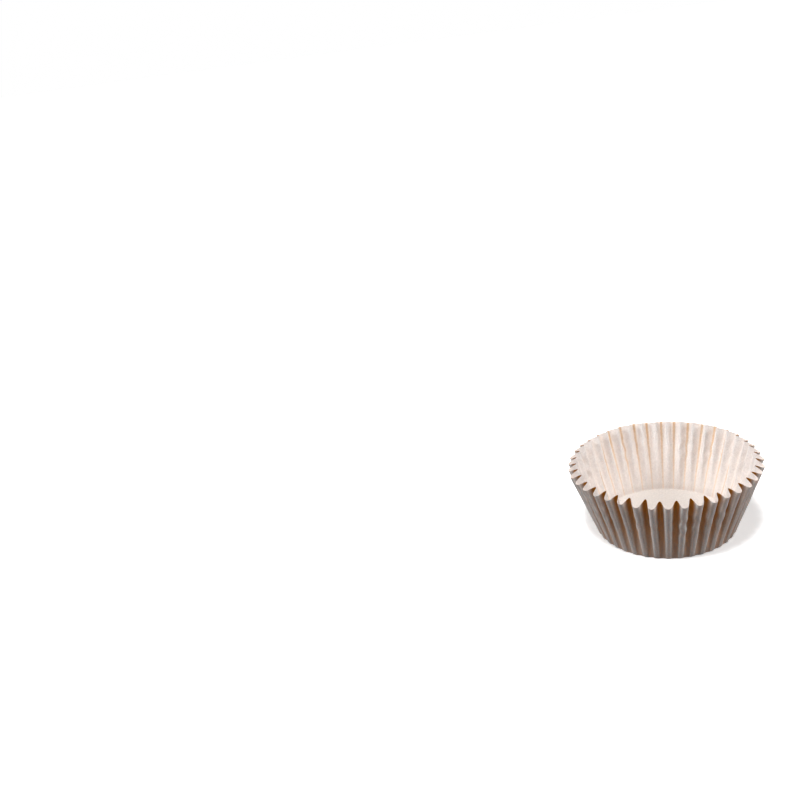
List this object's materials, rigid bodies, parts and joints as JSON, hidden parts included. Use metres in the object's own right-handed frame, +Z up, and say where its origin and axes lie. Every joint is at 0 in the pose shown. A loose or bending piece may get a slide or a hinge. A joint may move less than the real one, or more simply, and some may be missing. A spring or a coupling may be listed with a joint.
{
  "type": "cupcake liner",
  "caption": "Round fluted paper cup with a flat floor and a flaring pleated wall, for baking and serving a small cake.",
  "frame": {"origin": "centre of the floor's underside, on the surface that the liner stands on", "axes": "+Z up through the middle of the cup, -Y towards the front as the picture shows it, +X to the right"},
  "size_m": [0.075, 0.075, 0.0296],
  "materials": {
    "paper": "matt cream greaseproof paper, slightly see-through"
  },
  "bodies": {
    "root": {"liner": "paper"}
  },
  "joints": []
}
